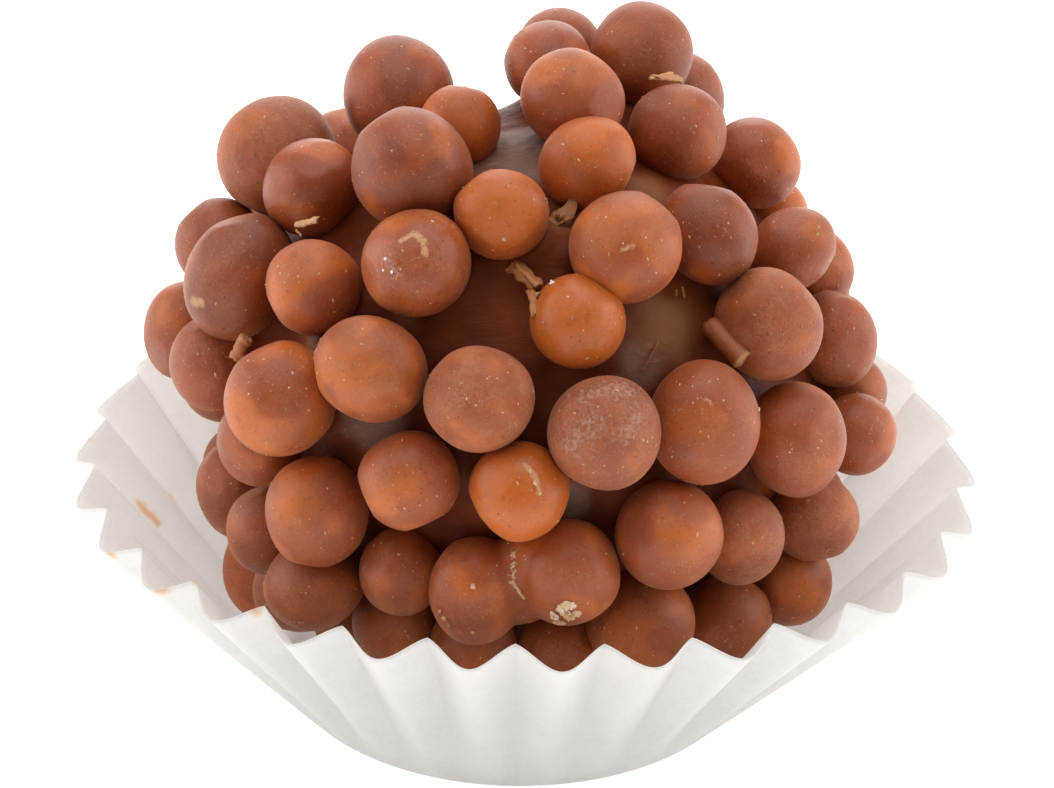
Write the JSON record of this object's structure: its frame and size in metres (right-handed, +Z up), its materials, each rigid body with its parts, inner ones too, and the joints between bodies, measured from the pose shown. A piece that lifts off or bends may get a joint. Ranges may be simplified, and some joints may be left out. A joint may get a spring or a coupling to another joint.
{
  "type": "brigadeiro",
  "caption": "Ball of dark fudge rolled in crisp milk chocolate pearls, sitting in a fluted white paper case.",
  "frame": {"origin": "middle of the underside of the paper case, on the surface it stands on", "axes": "+Z up, -Y towards the front, +X to the right seen from the front"},
  "size_m": [0.048, 0.0426, 0.0376],
  "materials": {
    "chocolate": "velvety milk chocolate pearls on dark, slightly glossy fudge",
    "case_paper": "thin matt white greaseproof paper, pleated"
  },
  "bodies": {
    "root": {"paper_case": "case_paper", "brigadeiro": "chocolate"}
  },
  "joints": []
}
